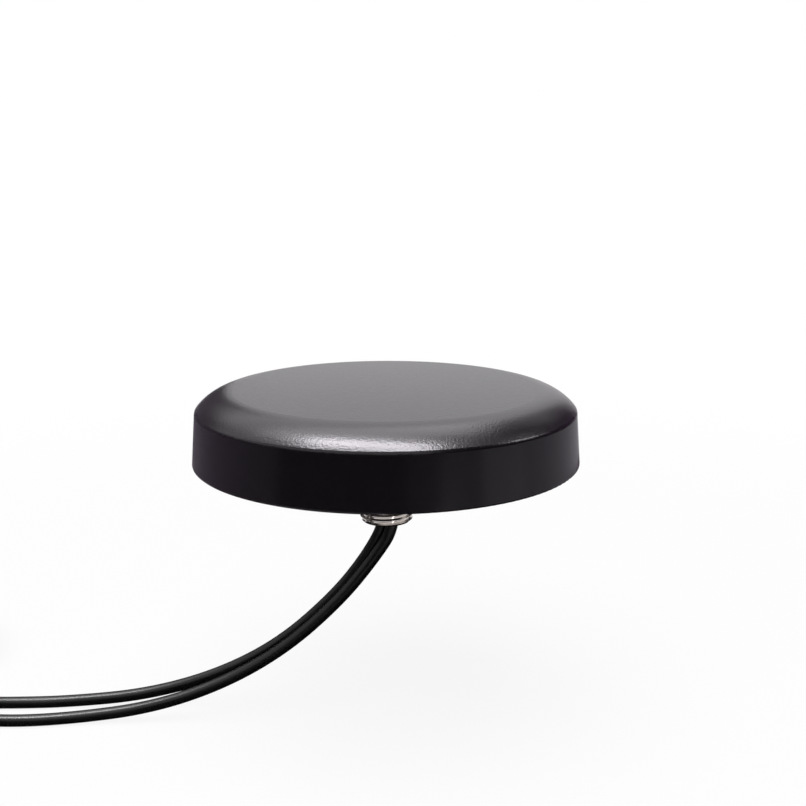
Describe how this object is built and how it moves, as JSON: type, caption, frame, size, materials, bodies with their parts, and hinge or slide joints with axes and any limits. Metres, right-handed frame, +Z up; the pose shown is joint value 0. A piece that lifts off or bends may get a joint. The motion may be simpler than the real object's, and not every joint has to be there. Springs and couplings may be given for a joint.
{
  "type": "combination vehicle antenna",
  "caption": "Round low-profile vehicle antenna with a hollow threaded roof stud and two coaxial cables that end in screw-on plugs.",
  "frame": {"origin": "centre of the seating face, on the stud's axis, where the foam gasket meets the roof", "axes": "+Z up, away from the roof, along the stud's axis; -X is the side to which the cables bend; -Y faces the camera"},
  "size_m": [0.2169, 0.1132, 0.0786],
  "materials": {
    "radome_plastic": "fine spark-eroded black acrylic-styrene moulding",
    "base_plastic": "black glass-filled moulding",
    "seal_rubber": "black silicone rubber",
    "foam": "black closed-cell foam",
    "nickel": "bright nickel plate on turned brass",
    "steel_screw": "zinc-plated steel screw",
    "nylon": "natural nylon",
    "board_green": "green solder mask on glass epoxy",
    "tin_plate": "bright tin-plated sheet",
    "ceramic": "fired dielectric ceramic with a silver face",
    "chip_black": "moulded component bodies",
    "cable_black": "black vinyl cable jacket",
    "strap_black": "black woven hook strap",
    "gold": "gold-plated brass",
    "bronze": "spring bronze",
    "white_plastic": "white fluoropolymer",
    "red_rubber": "silicone sealing ring",
    "sleeve_black": "heat-shrink sleeve"
  },
  "bodies": {
    "antenna": {"radome": "radome_plastic", "base_plate": "base_plastic", "housing_seal": "seal_rubber", "mounting_gasket": "foam", "housing_screws": "steel_screw", "threaded_stud": "nickel", "stud_seal": "seal_rubber", "stud_screws": "steel_screw", "cable_grommet": "seal_rubber", "lead_tie": "nylon", "carrier_board": "board_green", "board_screws": "steel_screw", "cell_radiator": "tin_plate", "patch_board": "board_green", "patch_ceramic": "ceramic", "patch_pin": "tin_plate", "shield_can": "tin_plate", "module_foam": "foam", "amplifier_parts": "chip_black", "gnss_lead": "cable_black", "cell_lead": "cable_black", "gnss_cable": "cable_black", "gnss_coil": "cable_black", "gnss_tail": "cable_black", "gnss_straps": "strap_black", "cell_cable": "cable_black", "cell_coil": "cable_black", "cell_tail": "cable_black", "cell_straps": "strap_black", "gnss_plug_body": "gold", "gnss_plug_ring": "bronze", "gnss_plug_insulator": "white_plastic", "gnss_plug_contact": "gold", "gnss_plug_gasket": "red_rubber", "gnss_plug_ferrule": "gold", "gnss_plug_sleeve": "sleeve_black", "cell_plug_body": "gold", "cell_plug_ring": "bronze", "cell_plug_insulator": "white_plastic", "cell_plug_contact": "gold", "cell_plug_gasket": "red_rubber", "cell_plug_ferrule": "gold", "cell_plug_sleeve": "sleeve_black"},
    "gnss_nut": {"gnss_plug_nut": "gold"},
    "cell_nut": {"cell_plug_nut": "gold"}
  },
  "joints": [
    {"name": "gnss_nut_turn", "type": "hinge", "parent": "antenna", "child": "gnss_nut", "pos_m": [-0.157, -0.056, -0.057], "axis": [0, -1, 0], "continuous": true},
    {"name": "cell_nut_turn", "type": "hinge", "parent": "antenna", "child": "cell_nut", "pos_m": [-0.169, -0.0464, -0.057], "axis": [0, -1, 0], "continuous": true}
  ]
}
